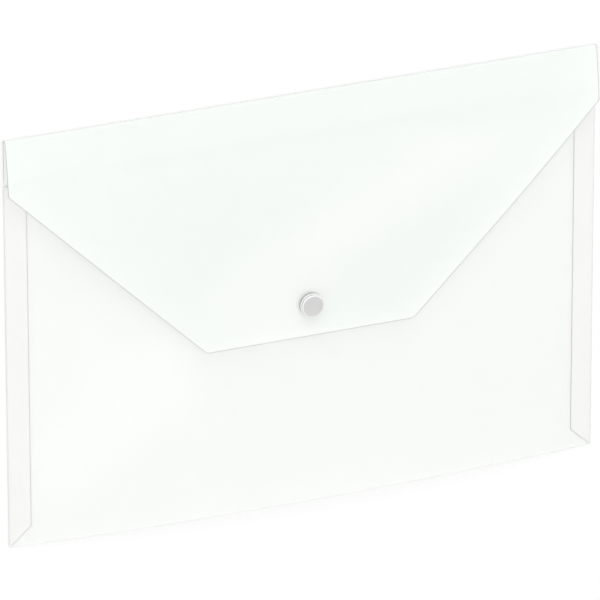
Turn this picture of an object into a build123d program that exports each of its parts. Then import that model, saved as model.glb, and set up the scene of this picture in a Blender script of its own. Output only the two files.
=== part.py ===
from build123d import *

import math
import os

# Document wallet: one folded sheet of clear polypropylene with a snap fastener, lying on its back.
# +X runs along the width, +Y towards the top crease, +Z up through the front.
# The origin is on the surface that it lies on, below the middle of the wallet.

# Sheet stock, millimetres
sheet = 0.2                # polypropylene sheet
layer_gap = 0.1            # air between two sheets that lie on each other

# Body
body_width = 335.0         # over the side folds
body_height = 238.0        # over the bottom fold and the top crease
front_height = 212.0       # bottom fold to pocket mouth
curl_height = 85.0         # stretch of the back panel that lifts towards the bottom fold
mouth_corner_radius = 3.0

# Camber of the front panel: how far its middle stands above its two side edges
bottom_camber = 7.0
middle_camber = 7.4
mouth_camber = 5.8

# Side tabs, folded over from the back panel and welded to the front panel
tab_width = 12.0
tab_mitre = 11.5           # height of the slant at a tab's lower end
tab_top_mitre = 4.0        # height of the slant at its upper end

# Closure flap and its crease
crease_radius = 1.6        # outside of the bend
flap_lift = 10.0           # degrees that the flap rises at the crease
flap_depth = 137.5         # top crease to lower edge
flap_side_depth = 30.0     # top crease to the corner where a slanted edge starts
flap_tip_width = 118.0     # corner to corner along the lower edge
flap_side_radius = 2.0
flap_tip_radius = 4.0

# Snap fastener
snap_from_tip = 19.0       # its axis above the flap's lower edge
snap_standoff = 4.0        # front panel to flap where the snap holds them
seat_gap = 0.03            # under a moulded piece, which lies flat on a slightly curved sheet
post_radius = 1.5
post_clearance = 0.05
punch_clearance = 0.2      # between a post and the hole punched for it
backing_radius = 6.0
backing_thickness = 1.2
backing_chamfer = 0.5
stud_radius = 5.5
stud_flange = 1.0
stud_neck_radius = 2.1
stud_neck = 0.4
stud_head_radius = 2.5
stud_head = 1.4
stud_head_round = 0.6
stud_roof = 0.5            # between the blind bore and the top of the head
socket_radius = 5.8
socket_float = 0.35        # between the socket's mouth and the stud's flange
socket_chamfer = 0.3
socket_roof = 0.75
lip_clearance = 0.5        # round the stud's head, with the lip sprung open
lip_height = 0.5
lip_depth = 0.4            # how far the cavity widens behind the lip
spring_slot_count = 4      # slots that let the lip give
spring_slot_width = 0.6
spring_slot_reach = 1.5    # from the lip's inside into the wall
cap_radius = 6.4
cap_flange = 1.9
cap_face_radius = 6.05
cap_height = 4.0
cap_edge_radius = 0.6
cap_dish_radius = 5.2
cap_dish = 0.2

cut_overrun = 1.0

# Levels of the layers at the side edges
front_level = sheet + layer_gap
tab_level = 2 * front_level
side_fold_radius = (tab_level + sheet) / 2
bottom_fold_radius = (front_level + sheet) / 2
panel_width = body_width - 2 * side_fold_radius

# Stations along the wallet
y_bottom = -body_height / 2
y_low = y_bottom + bottom_fold_radius
y_curl = y_bottom + curl_height
y_mouth = y_bottom + front_height
y_top = body_height / 2
y_crease = y_top - crease_radius
y_tip = y_top - flap_depth
y_snap = y_tip + snap_from_tip
y_middle = (y_low + y_mouth) / 2

# The front panel's crown line is a parabola through its three cambers
half_run = y_mouth - y_middle
middle_slope = (mouth_camber - bottom_camber) / (2 * half_run)
crown_bend = (mouth_camber - 2 * middle_camber + bottom_camber) / half_run**2
snap_offset = y_snap - y_middle
snap_camber = middle_camber + middle_slope * snap_offset + crown_bend * snap_offset**2 / 2
snap_slope = middle_slope + crown_bend * snap_offset

# The snap stands square to the crown line, and the flap's tip lies along it
snap_base = Vector(0, y_snap, front_level + sheet + snap_camber)
snap_axis = Vector(0, -snap_slope, 1).normalized()
snap_plane = Plane(origin=snap_base, x_dir=(1, 0, 0), z_dir=snap_axis)
snap_section = Plane(origin=snap_base, x_dir=(1, 0, 0), z_dir=-snap_plane.y_dir)
tip_angle = math.degrees(math.atan(-snap_slope))

# The flap leaves the crease at its lift and bends until it lies along the crown line
lift = math.radians(flap_lift)
tip_tilt = math.radians(tip_angle)
crease_inside = crease_radius - sheet
flap_start_y = y_crease + crease_inside * math.sin(lift)
flap_start_z = crease_radius + crease_inside * math.cos(lift)
flap_start = Vector(0, flap_start_y, flap_start_z)
flap_seat = snap_base + snap_axis * snap_standoff
flap_rise = (flap_seat - flap_start).dot(snap_axis)
flap_bend_radius = flap_rise / (1 - math.cos(lift - tip_tilt))
flap_bend_y = flap_start_y - flap_bend_radius * math.sin(lift)
flap_bend_z = flap_start_z - flap_bend_radius * math.cos(lift)

os.makedirs("parts", exist_ok=True)


def arch(level, camber):
    """Line across the wallet at a level, arched by its camber."""
    left = (-panel_width / 2, level)
    right = (panel_width / 2, level)
    if camber:
        return ThreePointArc(left, (0, level + camber), right)
    return Line(left, right)


def sheet_section(y, level, camber):
    """Cut through an arched sheet, at one station along the wallet."""
    with BuildSketch(Plane.XZ.offset(-y)) as section:
        with BuildLine():
            lower = arch(level, camber)
            upper = arch(level + sheet, camber)
            Line(lower @ 0, upper @ 0)
            Line(lower @ 1, upper @ 1)
        make_face()
    return section.sketch


def front_sections(level):
    """Cuts through the front panel's curved form, with its side edges at a level."""
    cambers = (bottom_camber, middle_camber, mouth_camber)
    return [sheet_section(y, level, camber) for y, camber in zip((y_low, y_middle, y_mouth), cambers)]


# Back panel: flat from the crease down, then lifting to the bowed bottom fold
with BuildPart() as back_panel:
    curl_sections = []
    for curl_share in (1, 0.5, 0):
        station = y_curl + (y_low - y_curl) * curl_share
        curl_sections.append(sheet_section(station, 0, bottom_camber * curl_share**2))
    loft(sections=curl_sections)
    with BuildSketch() as flat_stretch:
        with Locations((0, (y_curl + y_crease) / 2)):
            Rectangle(panel_width, y_crease - y_curl)
    extrude(amount=sheet)
back_panel.part.label = "back_panel"
export_step(back_panel.part, "parts/back_panel.step")

# Front panel: crowned sheet with rounded mouth corners and the hole for the stud's post
with BuildPart() as front_panel:
    loft(sections=front_sections(front_level))
    with BuildSketch() as front_outline:
        with BuildLine():
            Polyline(
                (-panel_width / 2, y_low),
                (panel_width / 2, y_low),
                (panel_width / 2, y_mouth),
                (-panel_width / 2, y_mouth),
                close=True,
            )
        make_face()
        fillet(front_outline.vertices().group_by(Axis.Y)[-1], mouth_corner_radius)
    extrude(amount=snap_base.Z + cut_overrun, mode=Mode.INTERSECT)
    with BuildSketch(snap_plane) as stud_punch:
        Circle(post_radius + punch_clearance)
    extrude(amount=cut_overrun, both=True, mode=Mode.SUBTRACT)
front_panel.part.label = "front_panel"
export_step(front_panel.part, "parts/front_panel.step")

# Bottom fold: the bend from back to front, bowed like the panels that it joins
bow_radius = ((panel_width / 2) ** 2 + bottom_camber**2) / (2 * bottom_camber)
bow_axis = Axis((0, 0, bottom_camber - bow_radius), (0, 1, 0))
half_bow_angle = math.degrees(math.asin(panel_width / 2 / bow_radius))
with BuildPart() as bottom_fold:
    with BuildSketch(Plane.YZ) as fold_section:
        with Locations((y_low, bottom_camber + bottom_fold_radius)):
            Circle(bottom_fold_radius)
            Circle(bottom_fold_radius - sheet, mode=Mode.SUBTRACT)
            Rectangle(
                bottom_fold_radius,
                2 * bottom_fold_radius,
                align=(Align.MIN, Align.CENTER),
                mode=Mode.SUBTRACT,
            )
    revolve(axis=bow_axis, revolution_arc=half_bow_angle)
    mirror(about=Plane.YZ)
bottom_fold.part.label = "bottom_fold"
export_step(bottom_fold.part, "parts/bottom_fold.step")

# Side folds and side tabs, a mirrored pair
for side, name in ((-1, "left"), (1, "right")):
    x_fold = side * panel_width / 2
    x_tab = side * (panel_width / 2 - tab_width)

    with BuildPart() as side_fold:
        with BuildSketch(Plane.XZ.offset(-y_low)) as side_section:
            with Locations((x_fold, side_fold_radius)):
                Circle(side_fold_radius)
                Circle(side_fold_radius - sheet, mode=Mode.SUBTRACT)
            with Locations((x_fold - side * side_fold_radius / 2, side_fold_radius)):
                Rectangle(side_fold_radius, 2 * side_fold_radius, mode=Mode.SUBTRACT)
        extrude(amount=y_low - y_mouth)
    side_fold.part.label = name + "_side_fold"
    export_step(side_fold.part, "parts/" + name + "_side_fold.step")

    with BuildPart() as side_tab:
        loft(sections=front_sections(tab_level))
        with BuildSketch() as tab_outline:
            with BuildLine():
                Polyline(
                    (x_fold, y_low),
                    (x_tab, y_low + tab_mitre),
                    (x_tab, y_mouth - tab_top_mitre),
                    (x_fold, y_mouth),
                    close=True,
                )
            make_face()
        extrude(amount=snap_base.Z + cut_overrun, mode=Mode.INTERSECT)
    side_tab.part.label = name + "_side_tab"
    export_step(side_tab.part, "parts/" + name + "_side_tab.step")

# Flap crease: the round bend at the top edge, about the hinge axis
with BuildPart() as flap_crease:
    with BuildSketch(Plane.YZ) as crease_section:
        with BuildLine():
            inside = CenterArc((y_crease, crease_radius), crease_inside, -90, 180 - flap_lift)
            outside = CenterArc((y_crease, crease_radius), crease_radius, -90, 180 - flap_lift)
            Line(inside @ 0, outside @ 0)
            Line(inside @ 1, outside @ 1)
        make_face()
    extrude(amount=panel_width / 2, both=True)
flap_crease.part.label = "flap_crease"
export_step(flap_crease.part, "parts/flap_crease.step")

# Closure flap: bent along its depth, straight across, cut to its slanted outline
tip_heading = Vector(-math.cos(tip_tilt), math.sin(tip_tilt))
with BuildPart() as closure_flap:
    with BuildSketch(Plane.YZ) as flap_section:
        with BuildLine():
            bend_turn = flap_lift - tip_angle
            bend_centre = (flap_bend_y, flap_bend_z)
            under = CenterArc(bend_centre, flap_bend_radius, 90 - flap_lift, bend_turn)
            over = CenterArc(bend_centre, flap_bend_radius + sheet, 90 - flap_lift, bend_turn)
            tip_run = tip_heading * ((under @ 1).X - y_tip + cut_overrun)
            under_tip = under @ 1 + tip_run
            over_tip = over @ 1 + tip_run
            Line(under @ 0, over @ 0)
            Line(under @ 1, under_tip)
            Line(over @ 1, over_tip)
            Line(under_tip, over_tip)
        make_face()
    extrude(amount=panel_width / 2, both=True)
    with BuildSketch() as flap_outline:
        with BuildLine():
            Polyline(
                (-panel_width / 2, y_top),
                (panel_width / 2, y_top),
                (panel_width / 2, y_top - flap_side_depth),
                (flap_tip_width / 2, y_tip),
                (-flap_tip_width / 2, y_tip),
                (-panel_width / 2, y_top - flap_side_depth),
                close=True,
            )
        make_face()
        fillet(flap_outline.vertices().group_by(Axis.Y)[0], flap_tip_radius)
        fillet(flap_outline.vertices().group_by(Axis.X)[0].sort_by(Axis.Y)[0], flap_side_radius)
        fillet(flap_outline.vertices().group_by(Axis.X)[-1].sort_by(Axis.Y)[0], flap_side_radius)
    extrude(amount=flap_seat.Z + snap_standoff, mode=Mode.INTERSECT)
    with BuildSketch(snap_plane.offset(snap_standoff)) as cap_punch:
        Circle(post_radius + punch_clearance)
    extrude(amount=cut_overrun, both=True, mode=Mode.SUBTRACT)
closure_flap.part.label = "closure_flap"
export_step(closure_flap.part, "parts/closure_flap.step")

# Snap backing: disc inside the pocket, whose post passes through the front panel into the stud
backing_top = -sheet - seat_gap
stud_base = seat_gap
stud_top = stud_base + stud_flange + stud_neck + stud_head
bore_radius = post_radius + post_clearance
bore_top = stud_top - stud_roof
with BuildPart() as snap_backing:
    with BuildSketch(snap_section) as backing_section:
        with BuildLine():
            Polyline(
                (0, backing_top - backing_thickness),
                (backing_radius, backing_top - backing_thickness),
                (backing_radius, backing_top),
                (post_radius, backing_top),
                (post_radius, bore_top - post_clearance),
                (0, bore_top - post_clearance),
                close=True,
            )
        make_face()
        chamfer(backing_section.vertices().group_by(Axis.X)[-1].sort_by(Axis.Y)[0], backing_chamfer)
    revolve(axis=Axis(snap_base, snap_axis))
snap_backing.part.label = "snap_backing"
export_step(snap_backing.part, "parts/snap_backing.step")

# Snap stud: flange on the front panel with a rounded head on a neck
neck_base = stud_base + stud_flange
neck_top = neck_base + stud_neck
with BuildPart() as snap_stud:
    with BuildSketch(snap_section) as stud_section:
        with BuildLine():
            Polyline(
                (bore_radius, stud_base),
                (stud_radius, stud_base),
                (stud_radius, neck_base),
                (stud_neck_radius, neck_base),
                (stud_neck_radius, neck_top),
                (stud_head_radius, neck_top + stud_head_radius - stud_neck_radius),
                (stud_head_radius, stud_top - stud_head_round),
            )
            RadiusArc(
                (stud_head_radius, stud_top - stud_head_round),
                (stud_head_radius - stud_head_round, stud_top),
                -stud_head_round,
            )
            Polyline(
                (stud_head_radius - stud_head_round, stud_top),
                (0, stud_top),
                (0, bore_top),
                (bore_radius, bore_top),
                (bore_radius, stud_base),
            )
        make_face()
    revolve(axis=Axis(snap_base, snap_axis))
snap_stud.part.label = "snap_stud"
export_step(snap_stud.part, "parts/snap_stud.step")

# Snap socket: cup under the flap, with a slotted spring lip round the stud's head
socket_top = snap_standoff - seat_gap
socket_mouth = neck_base + socket_float
lip_radius = stud_head_radius + lip_clearance
cavity_radius = lip_radius + lip_depth
cavity_top = socket_top - socket_roof
with BuildPart() as snap_socket:
    with BuildSketch(snap_section) as socket_section:
        with BuildLine():
            Polyline(
                (bore_radius, socket_top),
                (socket_radius, socket_top),
                (socket_radius, socket_mouth),
                (lip_radius, socket_mouth),
                (lip_radius, socket_mouth + lip_height),
                (cavity_radius, socket_mouth + lip_height + lip_depth),
                (cavity_radius, cavity_top),
                (bore_radius, cavity_top),
                close=True,
            )
        make_face()
        chamfer(socket_section.vertices().group_by(Axis.X)[-1], socket_chamfer)
    revolve(axis=Axis(snap_base, snap_axis))
    with BuildSketch(snap_plane.offset(socket_mouth)) as spring_slots:
        with PolarLocations(lip_radius, spring_slot_count):
            Rectangle(2 * spring_slot_reach, spring_slot_width)
    extrude(amount=lip_height + lip_depth, mode=Mode.SUBTRACT)
snap_socket.part.label = "snap_socket"
export_step(snap_socket.part, "parts/snap_socket.step")

# Snap cap: the button on the outside, whose post passes through the flap into the socket
cap_base = snap_standoff + sheet + seat_gap
cap_top = cap_base + cap_height
dish_sphere_radius = (cap_dish_radius**2 + cap_dish**2) / (2 * cap_dish)
with BuildPart() as snap_cap:
    with BuildSketch(snap_section) as cap_section:
        with BuildLine():
            Polyline(
                (0, cavity_top),
                (post_radius, cavity_top),
                (post_radius, cap_base),
                (cap_radius, cap_base),
                (cap_radius, cap_base + cap_flange),
                (cap_face_radius, cap_base + cap_flange),
                (cap_face_radius, cap_top - cap_edge_radius),
            )
            RadiusArc(
                (cap_face_radius, cap_top - cap_edge_radius),
                (cap_face_radius - cap_edge_radius, cap_top),
                -cap_edge_radius,
            )
            Line((cap_face_radius - cap_edge_radius, cap_top), (cap_dish_radius, cap_top))
            RadiusArc((cap_dish_radius, cap_top), (0, cap_top - cap_dish), dish_sphere_radius)
            Line((0, cap_top - cap_dish), (0, cavity_top))
        make_face()
    revolve(axis=Axis(snap_base, snap_axis))
snap_cap.part.label = "snap_cap"
export_step(snap_cap.part, "parts/snap_cap.step")
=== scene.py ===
import math

import bmesh
import bpy
from mathutils import Matrix, Vector


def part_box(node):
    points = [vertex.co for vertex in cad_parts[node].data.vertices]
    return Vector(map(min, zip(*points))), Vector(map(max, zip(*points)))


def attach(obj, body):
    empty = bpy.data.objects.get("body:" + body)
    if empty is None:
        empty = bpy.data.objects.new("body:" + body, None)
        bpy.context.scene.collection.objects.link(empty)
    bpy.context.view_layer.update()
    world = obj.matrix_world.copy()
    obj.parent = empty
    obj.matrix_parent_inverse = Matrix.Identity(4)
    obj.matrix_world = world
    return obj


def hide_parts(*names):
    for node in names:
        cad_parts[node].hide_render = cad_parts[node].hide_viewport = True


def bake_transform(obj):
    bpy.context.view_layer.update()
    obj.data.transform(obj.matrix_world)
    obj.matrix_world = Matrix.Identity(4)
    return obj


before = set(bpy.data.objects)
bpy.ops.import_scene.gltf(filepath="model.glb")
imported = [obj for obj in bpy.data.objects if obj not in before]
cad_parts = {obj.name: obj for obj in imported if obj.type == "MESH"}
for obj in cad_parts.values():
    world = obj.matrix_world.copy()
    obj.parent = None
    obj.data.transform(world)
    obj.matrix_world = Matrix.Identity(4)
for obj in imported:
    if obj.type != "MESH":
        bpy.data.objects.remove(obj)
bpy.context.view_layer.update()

print("frame loaded, nodes:", len(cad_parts))

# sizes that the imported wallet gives, in metres
frontLow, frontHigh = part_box("front_panel")
tabLow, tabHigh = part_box("left_side_tab")
flapLow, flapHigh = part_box("closure_flap")
studLow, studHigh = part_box("snap_stud")

halfWidth = frontHigh.x
lowEdge = frontLow.y
mouthEdge = frontHigh.y
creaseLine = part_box("back_panel")[1].y
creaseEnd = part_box("flap_crease")[1].y
creaseRadius = creaseEnd - creaseLine
frontLevel = frontLow.z
tabLevel = tabLow.z
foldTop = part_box("left_side_fold")[1].z
sheetThick = foldTop - tabLevel
bottomRadius = (frontLevel + sheetThick) / 2


# node wiring: a socket that takes part in sums, and one way to add any other node
class Wire:
    def __init__(self, tree, socket=None):
        self.tree = tree
        self.socket = socket

    def node(self, kind, settings=None, inputs=None, out=0):
        made = self.tree.nodes.new(kind)
        for key, value in (settings or {}).items():
            setattr(made, key, value)
        for key, value in (inputs or {}).items():
            if isinstance(value, Wire):
                self.tree.links.new(value.socket, made.inputs[key])
            else:
                made.inputs[key].default_value = value
        return Wire(self.tree, made.outputs[out] if made.outputs else None)

    def maths(self, operation, first, second=0.0):
        return self.node("ShaderNodeMath", {"operation": operation}, {0: first, 1: second})

    def __add__(self, other):
        return self.maths("ADD", self, other)

    def __radd__(self, other):
        return self.maths("ADD", other, self)

    def __sub__(self, other):
        return self.maths("SUBTRACT", self, other)

    def __rsub__(self, other):
        return self.maths("SUBTRACT", other, self)

    def __mul__(self, other):
        return self.maths("MULTIPLY", self, other)

    def __rmul__(self, other):
        return self.maths("MULTIPLY", other, self)

    def __truediv__(self, other):
        return self.maths("DIVIDE", self, other)

    def blend(self, first, second):     # colour mix by this factor; its colours are sockets 6, 7 and 2
        return self.node("ShaderNodeMix", {"data_type": "RGBA"}, {0: self, 6: first, 7: second}, 2)


plasticIor = 1.49
noiseMiddle = 0.5                       # what a noise averages
white = (1, 1, 1, 1)
black = (0, 0, 0, 1)


def newMaterial(name):
    material = bpy.data.materials.new(name)
    material.use_nodes = True
    material.node_tree.nodes.clear()
    return material, Wire(material.node_tree)


def closeMaterial(wire, sockets):       # the shader and its output
    shader = wire.node("ShaderNodeBsdfPrincipled", inputs=sockets)
    wire.node("ShaderNodeOutputMaterial", inputs={"Surface": shader})


def objectPlace(wire):
    return wire.node("ShaderNodeTexCoord", out="Object")


def vertexTone(wire, name):             # a float that the mesh carries at its points
    return wire.node("ShaderNodeAttribute", {"attribute_name": name}, out="Fac")


def noise(wire, place, size, detail, distortion=0.0):
    return wire.node("ShaderNodeTexNoise", inputs={
        "Vector": place, "Scale": 1 / size, "Detail": detail, "Distortion": distortion})


def relief(wire, height):               # height in metres
    return wire.node("ShaderNodeBump", inputs={"Height": height, "Distance": 1.0, "Strength": 1.0})


# milky polypropylene sheet, more opaque along its cuts and folds, where painted dark lines stand in for the
# shade and refraction at those edges
sheetLook = {
    "pocketTint": (0.975, 0.988, 0.97),
    "tabTint": (0.978, 0.978, 0.97),
    "flapTint": (0.933, 0.969, 0.941),
    # colour of the painted shade lines along cuts and folds
    "edgeShadeColour": (0.5, 0.5, 0.48, 1.0),
    "cloudSize": 0.05,
    "cloudDetail": 3.0,
    "cloudDepth": 0.007,
    "grainSize": 0.0005,
    "grainDetail": 2.0,
    "grainHeight": 0.000002,
    "drawLength": 0.06,                 # faint lines along the way that the sheet was drawn
    "drawWidth": 0.0012,
    "drawDetail": 1.0,
    "drawHeight": 0.000004,
    "roughness": 0.1,
    "roughSpread": 0.05,
    "alpha": 0.62,                      # of one face; a sheet has two
    # alpha of those painted shade lines
    "edgeAlpha": 0.9,
    "lightLoss": 0.08,                  # share of that alpha that stops light
}


def sheetMaterial(name, tint):
    look = sheetLook
    material, wire = newMaterial(name)
    place = objectPlace(wire)
    # edge: the painted shade lines along cuts and folds, as a tone at the mesh's points
    edge = vertexTone(wire, "edge")
    cloud = noise(wire, place, look["cloudSize"], look["cloudDetail"])
    grain = noise(wire, place, look["grainSize"], look["grainDetail"])
    drawn = wire.node("ShaderNodeMapping", inputs={
        "Vector": place, "Scale": (1 / look["drawLength"], 1 / look["drawWidth"], 1.0)})
    draw = noise(wire, drawn, 1.0, look["drawDetail"])

    paler = tuple(min(1.0, c * (1 + look["cloudDepth"])) for c in tint) + (1.0,)
    deeper = tuple(c * (1 - look["cloudDepth"]) for c in tint) + (1.0,)
    milk = cloud.blend(deeper, paler)
    solid = look["alpha"] + (look["edgeAlpha"] - look["alpha"]) * edge
    shadowRay = wire.node("ShaderNodeLightPath", out="Is Shadow Ray")
    # the base colour turns to the painted shade colour along cuts and folds
    closeMaterial(wire, {
        "Base Color": edge.blend(milk, look["edgeShadeColour"]),
        "Roughness": look["roughness"] + look["roughSpread"] * (cloud - noiseMiddle),
        "Alpha": solid * (1 - (1 - look["lightLoss"]) * shadowRay),     # it hides more than it shades
        "Normal": relief(wire, grain * look["grainHeight"] + draw * look["drawHeight"]),
        "IOR": plasticIor,
    })
    return material


# moulded snap plastic: natural grey, paler along its rims as painted highlight, darker on its walls as
# painted shade, a little uneven in gloss
snapLook = {
    # pale: the painted highlight on rims and steps, and a little of the plain faces' grey; deep: the
    # plastic's grey and, alone, the painted shade on walls
    "pale": (0.94, 0.945, 0.94, 1.0),
    "deep": (0.53, 0.535, 0.53, 1.0),
    "flowSize": 0.004,
    "flowDetail": 2.0,
    "flowDistortion": 0.6,
    "flowDepth": 0.1,
    "roughness": 0.2,
    "roughSpread": 0.1,
    "grainSize": 0.0003,
    "grainDetail": 2.0,
    "grainHeight": 0.000004,
}


def snapMaterial():
    look = snapLook
    material, wire = newMaterial("snapPlastic")
    place = objectPlace(wire)
    # rim: paleness at the mesh's points, painted highlight on rims and steps, painted shade on walls
    rim = vertexTone(wire, "rim")
    flow = noise(wire, place, look["flowSize"], look["flowDetail"], look["flowDistortion"])
    grain = noise(wire, place, look["grainSize"], look["grainDetail"])
    paleness = rim + look["flowDepth"] * (flow - noiseMiddle)
    closeMaterial(wire, {
        "Base Color": paleness.blend(look["deep"], look["pale"]),
        "Roughness": look["roughness"] + look["roughSpread"] * (flow - noiseMiddle),
        "Normal": relief(wire, grain * look["grainHeight"]),
        "IOR": plasticIor,
    })
    return material


pocketMilk = sheetMaterial("pocketMilk", sheetLook["pocketTint"])
tabMilk = sheetMaterial("tabMilk", sheetLook["tabTint"])
flapMilk = sheetMaterial("flapMilk", sheetLook["flapTint"])
snapPlastic = snapMaterial()
print("materials made")


# mesh helpers
mergeGap = 0.000002                     # points nearer than this are one point
sharpAngle = math.radians(40)           # edges that turn more than this stay sharp
punchTool = {"segments": 48, "depth": 20 * sheetThick}      # long enough to pass both faces
edgeLine = {"width": 0.00026, "fade": 0.00016}      # painted dark line along a cut or a fold, standing in for the shade and refraction there
lineEnd = edgeLine["width"] + edgeLine["fade"]


def spread(start, end, count):          # even steps from start to end
    return [start + (end - start) * i / count for i in range(count + 1)]


def edged(start, end, count):           # even steps, with room for a painted shade line along both ends
    width = edgeLine["width"]
    return [start, start + width] + spread(start + lineEnd, end - lineEnd, count) + [end - width, end]


def lineShade(distance, tone):              # what shows of a painted shade line's tone at a distance from its edge
    return tone * min(1.0, max(0.0, (lineEnd - distance) / edgeLine["fade"]))


def addGrid(bm, edgeLayer, rows, columns, place, tone, finish=0):
    lines = []
    for row in rows:
        line = [bm.verts.new(place(row, column)) for column in columns]
        for vert, column in zip(line, columns):
            vert[edgeLayer] = tone(row, column)
        lines.append(line)
    for lower, upper in zip(lines, lines[1:]):
        for i in range(len(columns) - 1):
            bm.faces.new((lower[i], lower[i + 1], upper[i + 1], upper[i])).material_index = finish


def newObject(name, data):
    made = bpy.data.objects.new(name, data)
    bpy.context.scene.collection.objects.link(made)
    return made


def meshObject(name, bm):               # what was built in a bmesh becomes an object
    mesh = bpy.data.meshes.new(name)
    bm.to_mesh(mesh)
    bm.free()
    return newObject(name, mesh)


def settle(made):                       # modifiers become plain mesh, with smooth faces and no slivers
    bpy.context.view_layer.update()
    graph = bpy.context.evaluated_depsgraph_get()
    mesh = bpy.data.meshes.new_from_object(made.evaluated_get(graph))
    made.modifiers.clear()
    made.data = mesh
    mesh.name = made.name
    bm = bmesh.new()
    bm.from_mesh(mesh)
    bmesh.ops.remove_doubles(bm, verts=bm.verts, dist=mergeGap)
    bmesh.ops.dissolve_degenerate(bm, edges=bm.edges, dist=mergeGap)
    bm.to_mesh(mesh)
    bm.free()
    mesh.shade_smooth()
    mesh.set_sharp_from_angle(angle=sharpAngle)


def thicken(made):
    wall = made.modifiers.new("thickness", "SOLIDIFY")
    wall.thickness = sheetThick
    wall.offset = 0.0
    wall.use_quality_normals = True


def carve(made, cutter):                # takes the cutter's shape out of a piece
    cut = made.modifiers.new("cut", "BOOLEAN")
    cut.operation = "DIFFERENCE"
    cut.solver = "EXACT"
    cut.object = cutter
    settle(made)
    bpy.data.objects.remove(cutter)


def turnTo(axis):                       # turns +Z to a direction
    return axis.to_track_quat("Z", "Y").to_matrix().to_4x4()


def punch(made, centre, axis, radius):  # round hole through a sheet
    bm = bmesh.new()
    bmesh.ops.create_cone(bm, cap_ends=True, segments=punchTool["segments"], depth=punchTool["depth"],
                          radius1=radius, radius2=radius, matrix=Matrix.Translation(centre) @ turnTo(axis))
    carve(made, meshObject("punch", bm))


# pocket: back panel, bottom fold, front panel, side folds and side tabs, folded from one sheet
pocket = {
    "bottomCamber": 0.007,              # crown of the front panel: at its foot, half way up, at its mouth
    "middleCamber": 0.0074,
    "mouthCamber": 0.0058,
    "curlHeight": 0.085,                # stretch of the back that lifts to the bottom fold
    "mouthCorner": 0.003,
    "tabMitre": 0.0115,
    "tabTopMitre": 0.004,
    "cutShadeTone": 0.73,                    # depth of the painted shade lines along cuts, mouth, folds and bottom fold
    "mouthShadeTone": 0.38,
    "foldShadeTone": 0.14,
    "bottomShadeTone": 0.06,
    "columns": 84,
    "rows": 64,
    "mitreRows": 10,
    "aboveRows": 6,                     # on the back, from the mouth to the crease
    "tabColumns": 5,
    "foldSteps": 8,
}
tabWidth = tabHigh.x - tabLow.x
curlLine = lowEdge - bottomRadius + pocket["curlHeight"]
middleLine = (lowEdge + mouthEdge) / 2
halfRun = mouthEdge - middleLine
crownSlope = (pocket["mouthCamber"] - pocket["bottomCamber"]) / (2 * halfRun)
crownBend = (pocket["mouthCamber"] - 2 * pocket["middleCamber"] + pocket["bottomCamber"]) / halfRun ** 2


def crown(y):                           # height of the front's middle above its sides
    run = y - middleLine
    return pocket["middleCamber"] + crownSlope * run + crownBend * run * run / 2


def curl(y):                            # the same for the back
    return pocket["bottomCamber"] * max(0.0, (curlLine - y) / (curlLine - lowEdge)) ** 2


def arch(x):                            # share of that height across the width
    return 1 - (x / halfWidth) ** 2


def mouthLine(x):                       # mouth edge with its rounded corners
    corner = pocket["mouthCorner"]
    past = min(corner, max(0.0, abs(x) - (halfWidth - corner)))
    return mouthEdge - corner + math.sqrt(corner ** 2 - past ** 2)


def tabInner(y):                        # width of a tab at one height, and how steep its cut is there
    low = (y - lowEdge) / pocket["tabMitre"]
    high = (mouthEdge - y) / pocket["tabTopMitre"]
    if min(low, high) >= 1:
        return tabWidth, 1.0
    mitre = pocket["tabMitre"] if low < high else pocket["tabTopMitre"]
    return max(sheetThick, tabWidth * min(low, high)), math.hypot(1, tabWidth / mitre)


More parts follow.
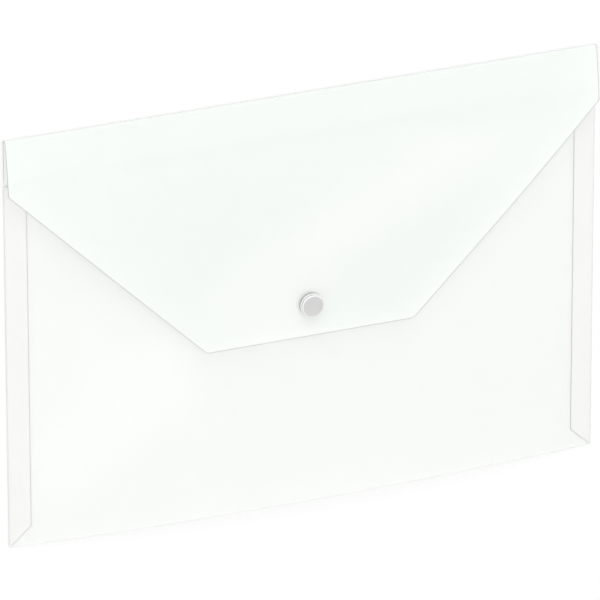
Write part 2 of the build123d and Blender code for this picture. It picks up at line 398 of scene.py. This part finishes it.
def buildPocket():
    cut = pocket["cutShadeTone"]
    fold = pocket["foldShadeTone"]
    foot = pocket["bottomShadeTone"]
    steps = range(pocket["foldSteps"] + 1)
    midBottom = bottomRadius - sheetThick / 2
    midSide = (foldTop - sheetThick) / 2
    bm = bmesh.new()
    edge = bm.verts.layers.float.new("edge")

    columns = edged(-halfWidth, halfWidth, pocket["columns"])
    mitreLow = lowEdge + pocket["tabMitre"]
    mitreHigh = mouthEdge - pocket["tabTopMitre"]
    rows = edged(lowEdge, mouthEdge, pocket["rows"])
    rows += spread(lowEdge + lineEnd, mitreLow, pocket["mitreRows"])[1:]
    rows += spread(mitreHigh, mouthEdge - lineEnd, pocket["mitreRows"])[:-1]
    rows.sort()
    backRows = rows + spread(mouthEdge, creaseLine, pocket["aboveRows"])[1:]

    def backPoint(y, x):
        return (x, y, sheetThick / 2 + curl(y) * arch(x))

    def backShade(y, x):
        side = lineShade(halfWidth - abs(x), cut if y > mouthEdge else fold)
        return max(side, lineShade(y - lowEdge, foot))

    addGrid(bm, edge, backRows, columns, backPoint, backShade)

    def bottomPoint(step, x):
        turn = math.pi * (0.5 + step / pocket["foldSteps"])
        return (x, lowEdge + midBottom * math.cos(turn),
                pocket["bottomCamber"] * arch(x) + bottomRadius - midBottom * math.sin(turn))

    addGrid(bm, edge, steps, columns, bottomPoint, lambda step, x: foot)

    frontRows = [(y - lowEdge) / (mouthEdge - lowEdge) for y in rows]

    def frontPoint(share, x):
        y = lowEdge + share * (mouthLine(x) - lowEdge)
        return (x, y, frontLevel + sheetThick / 2 + crown(y) * arch(x))

    def frontShade(share, x):
        y = lowEdge + share * (mouthEdge - lowEdge)
        side = max(lineShade(halfWidth - abs(x), cut), lineShade(mouthEdge - y, pocket["mouthShadeTone"]))
        return max(side, lineShade(y - lowEdge, foot))

    addGrid(bm, edge, frontRows, columns, frontPoint, frontShade)

    for side in (-1, 1):
        def sidePoint(y, step):
            turn = math.pi * (step / pocket["foldSteps"] - 0.5)
            return (side * (halfWidth + midSide * math.cos(turn)), y, foldTop / 2 + midSide * math.sin(turn))

        addGrid(bm, edge, rows, steps, sidePoint, lambda y, step: fold)

        insets = edged(0.0, tabWidth, pocket["tabColumns"])

        def tabPoint(y, inset):         # the painted shade line along the cut keeps its width on the slanted ends
            reach, steep = tabInner(y)
            first = min(lineEnd, reach)
            last = max(first, reach - lineEnd * steep)
            if inset <= lineEnd:
                inward = min(inset, reach)
            elif inset < tabWidth - lineEnd:
                inward = first + (last - first) * (inset - lineEnd) / (tabWidth - 2 * lineEnd)
            else:
                inward = max(first, reach - (tabWidth - inset) * steep)
            x = side * (halfWidth - inward)
            return (x, y, tabLevel + sheetThick / 2 + crown(y) * arch(x))

        def tabShade(y, inset):
            return max(lineShade(tabWidth - inset, cut), lineShade(inset, fold))

        addGrid(bm, edge, rows, insets, tabPoint, tabShade, finish=1)

    bmesh.ops.remove_doubles(bm, verts=bm.verts, dist=mergeGap)
    bmesh.ops.recalc_face_normals(bm, faces=bm.faces)
    made = meshObject("pocketSheet", bm)
    made.data.materials.append(pocketMilk)
    made.data.materials.append(tabMilk)
    thicken(made)
    return made


# snap: where it stands on the front panel, and what its four pieces share
snap = {
    "standoff": 0.004,                  # from the front panel up to the flap
    "seatGap": 0.00003,
    "postRadius": 0.0015,
    "postGap": 0.00005,
    "punchGap": 0.0002,
    "edgeRound": 0.0001,
    "edgeSteps": 3,
    "edgeAngle": math.radians(50),
    "segments": 128,
    "roundSteps": 6,
    "tone": 0.16,                       # paleness of plain faces, of walls as painted shade and of rims as painted highlight
    "wallShadeTone": 0.0,
    "rimHighlightTone": 1.0,
}
snapLine = (studLow.y + studHigh.y) / 2
snapSlope = crownSlope + crownBend * (snapLine - middleLine)
snapBase = Vector((0.0, snapLine, frontLevel + sheetThick + crown(snapLine)))
snapAxis = Vector((0.0, -snapSlope, 1.0)).normalized()
punchRadius = snap["postRadius"] + snap["punchGap"]

pocketPiece = buildPocket()
punch(pocketPiece, snapBase, snapAxis, punchRadius)
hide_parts("back_panel", "front_panel", "bottom_fold", "left_side_fold",
            "right_side_fold", "left_side_tab", "right_side_tab")
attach(pocketPiece, "pocket")
print("pocket folded, faces:", len(pocketPiece.data.polygons))


# closure flap and its crease: a flat blank that a node tree bends along its length
flap = {
    "lift": math.radians(10),           # rise of the flap where it leaves the crease
    "sideDepth": 0.030,                 # top edge to the corners where the slants start
    "tipWidth": 0.118,
    "sideRadius": 0.002,
    "tipRadius": 0.004,
    # depth of the painted shade line along the flap's cuts
    "cutShadeTone": 0.88,
    "columns": 84,
    "rows": 52,
    "sideRows": 10,
    "creaseRows": 14,
    "cornerRows": 6,
}
tipTilt = math.atan(-snapSlope)
creaseTurn = math.pi - flap["lift"]
bendTurn = flap["lift"] - tipTilt
midCrease = creaseRadius - sheetThick / 2
creaseLength = midCrease * creaseTurn
leaveY = creaseLine + midCrease * math.sin(creaseTurn)
leaveZ = sheetThick / 2 + midCrease * (1 - math.cos(creaseTurn))

# bend radius and straight run that bring the tip to its place
lastTurn = creaseTurn + bendTurn
bendSteps = Matrix((
    (math.sin(lastTurn) - math.sin(creaseTurn), math.cos(lastTurn)),
    (math.cos(creaseTurn) - math.cos(lastTurn), math.sin(lastTurn)),
))
tipPlace = Vector((flapLow.y - leaveY, flapHigh.z - sheetThick / 2 - leaveZ))
bendRadius, tipRun = bendSteps.inverted() @ tipPlace
blankLength = creaseLength + bendRadius * bendTurn + tipRun
sideDrop = leaveY - (creaseEnd - flap["sideDepth"])
sideLength = bendRadius * (flap["lift"] - math.asin(math.sin(flap["lift"]) - sideDrop / bendRadius))
slantLength = blankLength - creaseLength - sideLength
slant = (halfWidth - flap["tipWidth"] / 2) / slantLength
slantSteep = math.hypot(1, slant)


def flapReach(fromTip):                 # half width of the blank, at a length from its tip
    tip = flap["tipWidth"] / 2
    low = flap["tipRadius"]
    if fromTip < low * (1 - slant / slantSteep):
        return tip + low * (slant - slantSteep) + math.sqrt(low ** 2 - (low - fromTip) ** 2)
    high = flap["sideRadius"]
    centre = (halfWidth - tip + high * (slantSteep - 1)) / slant
    if fromTip > centre:
        return halfWidth
    if fromTip > centre - high * slant / slantSteep:
        return halfWidth - high + math.sqrt(high ** 2 - (fromTip - centre) ** 2)
    return tip + slant * fromTip


def flapBlank():
    flatLength = blankLength - creaseLength
    cornerLow = slantLength - flap["sideRadius"]
    cornerHigh = slantLength + flap["sideRadius"]
    tipTurns = spread(0, math.pi / 4, flap["cornerRows"])
    fromTip = [flap["tipRadius"] * (1 - math.cos(turn)) for turn in tipTurns]
    fromTip += [edgeLine["width"], lineEnd]
    fromTip += spread(flap["tipRadius"], cornerLow, flap["rows"])
    fromTip += spread(cornerLow, cornerHigh, flap["cornerRows"])[1:]
    fromTip += spread(cornerHigh, flatLength, flap["sideRows"])[1:]
    fromTip += spread(flatLength, blankLength, flap["creaseRows"])[1:]
    fromTip = sorted(set(fromTip))
    columns = edged(-halfWidth, halfWidth, flap["columns"])

    def place(run, column):             # columns keep their distance from the slanted edges
        reach = flapReach(run)
        across = 1.0 if reach == halfWidth else slantSteep
        inset = halfWidth - abs(column)
        x = reach - inset * across
        if inset > lineEnd:
            x = (reach - lineEnd * across) * abs(column) / (halfWidth - lineEnd)
        return (math.copysign(x, column), blankLength - run, 0.0)

    # painted shade lines along the flap's sides and tip
    def tone(run, column):
        return max(lineShade(halfWidth - abs(column), flap["cutShadeTone"]), lineShade(run, flap["cutShadeTone"]))

    bm = bmesh.new()
    edge = bm.verts.layers.float.new("edge")
    addGrid(bm, edge, fromTip, columns, place, tone)
    bmesh.ops.recalc_face_normals(bm, faces=bm.faces)
    return meshObject("closureFlap", bm)


def bendTree():                         # length along the blank becomes crease, bend and straight run
    tree = bpy.data.node_groups.new("bendSheet", "GeometryNodeTree")
    face = tree.interface
    face.new_socket("Geometry", in_out="INPUT", socket_type="NodeSocketGeometry")
    names = ("Start Y", "Start Z", "Crease Radius", "Crease Turn", "Bend Radius", "Bend Turn")
    for name in names:
        face.new_socket(name, in_out="INPUT", socket_type="NodeSocketFloat")
    face.new_socket("Material", in_out="INPUT", socket_type="NodeSocketMaterial")
    face.new_socket("Geometry", in_out="OUTPUT", socket_type="NodeSocketGeometry")

    wire = Wire(tree)
    entry = tree.nodes.new("NodeGroupInput")
    blank = Wire(tree, entry.outputs["Geometry"])
    finish = Wire(tree, entry.outputs["Material"])
    startY, startZ, radius, turn, bendRound, bendAngle = (Wire(tree, entry.outputs[name]) for name in names)
    place = wire.node("GeometryNodeInputPosition")
    x = wire.node("ShaderNodeSeparateXYZ", inputs={0: place}, out="X")
    run = wire.node("ShaderNodeSeparateXYZ", inputs={0: place}, out="Y")

    def sine(angle):
        return wire.maths("SINE", angle)

    def cosine(angle):
        return wire.maths("COSINE", angle)

    creaseRun = radius * turn
    bendRun = bendRound * bendAngle
    first = wire.maths("MINIMUM", run, creaseRun) / radius
    past = wire.maths("MAXIMUM", run - creaseRun, 0.0)
    second = turn + wire.maths("MINIMUM", past, bendRun) / bendRound
    straight = wire.maths("MAXIMUM", past - bendRun, 0.0)
    ending = turn + bendAngle
    y = startY + radius * sine(first) + bendRound * (sine(second) - sine(turn)) + straight * cosine(ending)
    z = startZ + radius * (1 - cosine(first)) + bendRound * (cosine(turn) - cosine(second))
    z = z + straight * sine(ending)
    bent = wire.node("ShaderNodeCombineXYZ", inputs={0: x, 1: y, 2: z})
    moved = wire.node("GeometryNodeSetPosition", inputs={"Geometry": blank, "Position": bent})
    real = wire.node("GeometryNodeRealizeInstances", inputs={"Geometry": moved})
    dressed = wire.node("GeometryNodeSetMaterial", inputs={"Geometry": real, "Material": finish})
    wire.node("NodeGroupOutput", inputs={"Geometry": dressed})
    return tree


def buildFlap():
    made = flapBlank()
    bend = made.modifiers.new("bend", "NODES")
    bend.node_group = bendTree()
    values = {"Start Y": creaseLine, "Start Z": sheetThick / 2, "Crease Radius": midCrease,
              "Crease Turn": creaseTurn, "Bend Radius": bendRadius, "Bend Turn": bendTurn,
              "Material": flapMilk}
    for item in bend.node_group.interface.items_tree:
        if item.in_out == "INPUT" and item.name in values:
            bend[item.identifier] = values[item.name]
    thicken(made)
    return made


flapPiece = buildFlap()
punch(flapPiece, snapBase + snapAxis * snap["standoff"], snapAxis, punchRadius)
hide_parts("closure_flap", "flap_crease")
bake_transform(flapPiece)
print("flap bent, radius:", round(bendRadius, 3), "faces:", len(flapPiece.data.polygons))


# snap pieces: turned profiles about the snap's axis, of radius, height and, where given, its paleness:
# painted highlight on rims, painted shade on walls
snapPlace = Matrix.Translation(snapBase) @ turnTo(snapAxis)


def lathe(name, profile):
    bm = bmesh.new()
    rim = bm.verts.layers.float.new("rim")
    angles = spread(0, 2 * math.pi, snap["segments"])[:-1]
    rings = []
    for radius, height, *tone in profile:
        ring = [Vector((radius * math.cos(a), radius * math.sin(a), height)) for a in angles]
        rings.append([bm.verts.new(snapPlace @ point) for point in (ring if radius else ring[:1])])
        for vert in rings[-1]:
            vert[rim] = tone[0] if tone else snap["tone"]
    closed = rings if profile[0][0] == 0 else rings + rings[:1]
    for lower, upper in zip(closed, closed[1:]):
        for i in range(max(len(lower), len(upper))):
            ring = [lower[i % len(lower)], lower[(i + 1) % len(lower)],
                    upper[(i + 1) % len(upper)], upper[i % len(upper)]]
            bm.faces.new(list(dict.fromkeys(ring)))
    bmesh.ops.recalc_face_normals(bm, faces=bm.faces)
    made = meshObject(name, bm)
    made.data.materials.append(snapPlastic)
    soft = made.modifiers.new("edges", "BEVEL")
    soft.width = snap["edgeRound"]
    soft.segments = snap["edgeSteps"]
    soft.limit_method = "ANGLE"
    soft.angle_limit = snap["edgeAngle"]
    settle(made)
    return made


def rounded(radius, top, size):         # quarter round from a wall up to a flat top
    return [(radius - size + size * math.cos(turn), top - size + size * math.sin(turn))
            for turn in spread(0, math.pi / 2, snap["roundSteps"])]


def finishSnap(made, body, node):
    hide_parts(node)
    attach(made, body)


post = snap["postRadius"]
bore = post + snap["postGap"]

# stud on the front panel: flange, neck and round head
stud = {
    "radius": 0.0055,
    "flange": 0.001,
    "neckRadius": 0.0021,
    "neck": 0.0004,
    "headRadius": 0.0025,
    "head": 0.0014,
    "headRound": 0.0006,
    "roof": 0.0005,
}
neckBase = snap["seatGap"] + stud["flange"]
neckTop = neckBase + stud["neck"]
studTop = neckTop + stud["head"]
boreTop = studTop - stud["roof"]
studProfile = [
    (0, boreTop), (bore, boreTop), (bore, snap["seatGap"]), (stud["radius"], snap["seatGap"]),
    (stud["radius"], neckBase), (stud["neckRadius"], neckBase), (stud["neckRadius"], neckTop),
    (stud["headRadius"], neckTop + stud["headRadius"] - stud["neckRadius"]),
] + rounded(stud["headRadius"], studTop, stud["headRound"]) + [(0, studTop)]

# backing inside the pocket, with its post up through the panel into the stud
backing = {
    "radius": 0.006,
    "thickness": 0.0012,
    "chamfer": 0.0005,
}
backTop = -sheetThick - snap["seatGap"]
backBase = backTop - backing["thickness"]
backPost = boreTop - snap["postGap"]
backingProfile = [
    (0, backBase), (backing["radius"] - backing["chamfer"], backBase),
    (backing["radius"], backBase + backing["chamfer"]), (backing["radius"], backTop),
    (post, backTop), (post, backPost), (0, backPost),
]

# socket under the flap, with a lip round the stud's head
socket = {
    "radius": 0.0058,
    "float": 0.00035,                   # from the stud's flange up to the socket's mouth
    "chamfer": 0.0003,
    "roof": 0.00075,
    "lipGap": 0.0005,
    "lipHeight": 0.0005,
    "lipDepth": 0.0004,
    "slots": 4,
    "slotWidth": 0.0006,
    "slotReach": 0.0015,
}
socketTop = snap["standoff"] - snap["seatGap"]
socketMouth = neckBase + socket["float"]
socketFace = socket["radius"] - socket["chamfer"]
lipRadius = stud["headRadius"] + socket["lipGap"]
lipTop = socketMouth + socket["lipHeight"]
cavityRadius = lipRadius + socket["lipDepth"]
cavityTop = socketTop - socket["roof"]
socketProfile = [
    (bore, socketTop), (socketFace, socketTop), (socket["radius"], socketTop - socket["chamfer"]),
    (socket["radius"], socketMouth + socket["chamfer"]), (socketFace, socketMouth),
    (lipRadius, socketMouth), (lipRadius, lipTop), (cavityRadius, lipTop + socket["lipDepth"]),
    (cavityRadius, cavityTop), (bore, cavityTop),
]


def slotCutter():                       # bars that cut the spring slots of the socket's lip
    bm = bmesh.new()
    height = socket["lipHeight"] + socket["lipDepth"]
    bar = Matrix.Translation((lipRadius, 0, socketMouth)) @ Matrix.Diagonal(
        (2 * socket["slotReach"], socket["slotWidth"], 2 * height, 1))
    for i in range(socket["slots"]):
        spin = Matrix.Rotation(2 * math.pi * i / socket["slots"], 4, "Z")
        bmesh.ops.create_cube(bm, size=1.0, matrix=snapPlace @ spin @ bar)
    return meshObject("slotCutter", bm)


# cap on the flap: post, flange, a step up to the round face, and the face's shallow dish
cap = {
    "radius": 0.0064,
    "flange": 0.0019,
    "faceRadius": 0.00605,
    "height": 0.004,
    "rimRadius": 0.0006,
    "paleSteps": 5,                     # steps of the rim's round that carry the painted highlight of its edge
    "dishRadius": 0.0052,
    "dishDepth": 0.0002,
    "dishSteps": 6,
    "lip": 0.00025,                     # painted highlight lines on both sides of the step and below the rim
    "band": 0.00035,
    "fade": 0.0001,
}
capBase = snap["standoff"] + sheetThick + snap["seatGap"]
capTop = capBase + cap["height"]
capStep = capBase + cap["flange"]
capBand = capTop - cap["rimRadius"] - cap["band"]
# painted highlight on the step and rim, painted shade on the flange's and the face's walls
pale = snap["rimHighlightTone"]
paintedWallShade = snap["wallShadeTone"]
capProfile = [
    (0, cavityTop), (post, cavityTop), (post, capBase), (cap["radius"], capBase, paintedWallShade),
    (cap["radius"], capStep - cap["lip"] - cap["fade"], paintedWallShade), (cap["radius"], capStep - cap["lip"], pale),
    (cap["radius"], capStep, pale), (cap["faceRadius"], capStep, pale),
    (cap["faceRadius"], capStep + cap["lip"], pale),
    (cap["faceRadius"], capStep + cap["lip"] + cap["fade"], paintedWallShade),
    (cap["faceRadius"], capBand - cap["fade"], paintedWallShade), (cap["faceRadius"], capBand, pale),
]
for i, point in enumerate(rounded(cap["faceRadius"], capTop, cap["rimRadius"])):
    capProfile.append((*point, pale if i < cap["paleSteps"] else snap["tone"]))
for share in spread(1, 0, cap["dishSteps"]):
    capProfile.append((cap["dishRadius"] * share, capTop - cap["dishDepth"] * (1 - share ** 2)))

finishSnap(lathe("snapCap", capProfile), "flap", "snap_cap")
socketPiece = lathe("snapSocket", socketProfile)
carve(socketPiece, slotCutter())
finishSnap(socketPiece, "flap", "snap_socket")
finishSnap(lathe("snapStud", studProfile), "pocket", "snap_stud")
finishSnap(lathe("snapBacking", backingProfile), "pocket", "snap_backing")
print("snap turned")


# stage: white floor, soft light and the camera
stage = {
    "floorSize": 40.0,
    "floorDrop": 0.0002,
    "floorColour": (0.9, 0.9, 0.9, 1.0),
    "floorLift": (0.06, 0.06, 0.06, 1.0),       # added where the camera looks, so that the floor is white
    "ambient": 0.818,
}
lookRays = ("Is Camera Ray", "Is Glossy Ray", "Is Transmission Ray")


def lookRay(wire):                      # 1 for what the camera sees, also mirrored or through glass
    seen, mirrored, through = (wire.node("ShaderNodeLightPath", out=name) for name in lookRays)
    return wire.maths("MINIMUM", seen + mirrored + through, 1.0)


def buildFloor():
    bm = bmesh.new()
    bmesh.ops.create_grid(bm, x_segments=1, y_segments=1, size=stage["floorSize"] / 2,
                          matrix=Matrix.Translation((0, 0, -stage["floorDrop"])))
    floor = meshObject("floor", bm)
    material, wire = newMaterial("paleFloor")
    closeMaterial(wire, {
        "Base Color": stage["floorColour"],
        "Roughness": 1.0,
        "Specular IOR Level": 0.0,
        "Emission Color": lookRay(wire).blend(black, stage["floorLift"]),
        "Emission Strength": 1.0,
    })
    floor.data.materials.append(material)


def buildWorld():
    world = bpy.data.worlds.new("studio")
    bpy.context.scene.world = world
    world.use_nodes = True
    world.node_tree.nodes.clear()
    wire = Wire(world.node_tree)
    level = stage["ambient"] + (1 - stage["ambient"]) * lookRay(wire)
    sky = wire.node("ShaderNodeBackground", inputs={"Color": white, "Strength": level})
    wire.node("ShaderNodeOutputWorld", inputs={"Surface": sky})


# place, size, radiance, colour, heading of the long side in degrees, and what the lamp takes part in
# the strips shine back from the sheet as its pale streak, tinted because that is less green than the flap
lamps = {
    "keyLamp": {"place": (-0.1, 0.2, 4.0), "size": (2.5, 2.0), "radiance": 2.02,
                "colour": (1.0, 1.0, 1.0), "heading": 0.0, "only": "diffuse"},
    "fillLamp": {"place": (-0.5, 3.0, 1.6), "size": (2.5, 1.5), "radiance": 1.8,
                 "colour": (1.0, 1.0, 1.0), "heading": 0.0, "only": "diffuse"},
    "flapStrip": {"place": (0.335, -0.257, 0.8), "size": (0.34, 0.075), "radiance": 1.55,
                  "colour": (1.0, 0.66, 0.78), "heading": 66.4, "only": "glossy"},
    "frontStrip": {"place": (0.085, -0.455, 0.8), "size": (0.2, 0.06), "radiance": 1.2,
                   "colour": (0.92, 0.92, 1.0), "heading": 22.5, "only": "glossy"},
}


def buildLamps():                       # each lamp faces the wallet's middle
    for name, lamp in lamps.items():
        light = bpy.data.lights.new(name, "AREA")
        light.shape = "RECTANGLE"
        light.size, light.size_y = lamp["size"]
        light.color = lamp["colour"]
        light.energy = lamp["radiance"] * math.pi * light.size * light.size_y
        made = newObject(name, light)
        made.location = lamp["place"]
        back = Vector(lamp["place"]).normalized()
        heading = math.radians(lamp["heading"])
        along = Vector((math.cos(heading), math.sin(heading), 0.0))
        across = back.cross(along).normalized()
        made.rotation_euler = Matrix((across.cross(back), across, back)).transposed().to_euler()
        made.visible_camera = False
        made.visible_diffuse = lamp["only"] == "diffuse"
        made.visible_glossy = lamp["only"] == "glossy"


camera = {
    "turn": math.radians(37.28),        # to the left, from straight beyond the top edge
    "rise": math.radians(56.98),        # above the floor
    "roll": math.radians(-0.07),
    "distance": 5.0,
    "lens": 565.3,
    "clipEnd": 100.0,
    "aimRight": -0.0012,                # where the frame's middle is, from the wallet's middle
    "aimUp": -0.00255,
}


def buildCamera():
    back = Vector((-math.sin(camera["turn"]) * math.cos(camera["rise"]),
                   math.cos(camera["turn"]) * math.cos(camera["rise"]),
                   math.sin(camera["rise"])))
    up = Vector((0, 1, 0))
    up = (up - back * up.dot(back)).normalized()
    right = up.cross(back)
    turned = Matrix((right, up, back)).transposed() @ Matrix.Rotation(camera["roll"], 3, "Z")
    data = bpy.data.cameras.new("camera")
    data.lens = camera["lens"]
    data.clip_end = camera["clipEnd"]
    made = newObject("camera", data)
    place = back * camera["distance"] + right * camera["aimRight"] + up * camera["aimUp"]
    made.matrix_world = Matrix.Translation(place) @ turned.to_4x4()
    bpy.context.scene.camera = made


buildFloor()
buildWorld()
buildLamps()
buildCamera()
bpy.context.scene.view_settings.view_transform = "Standard"
print("stage set")
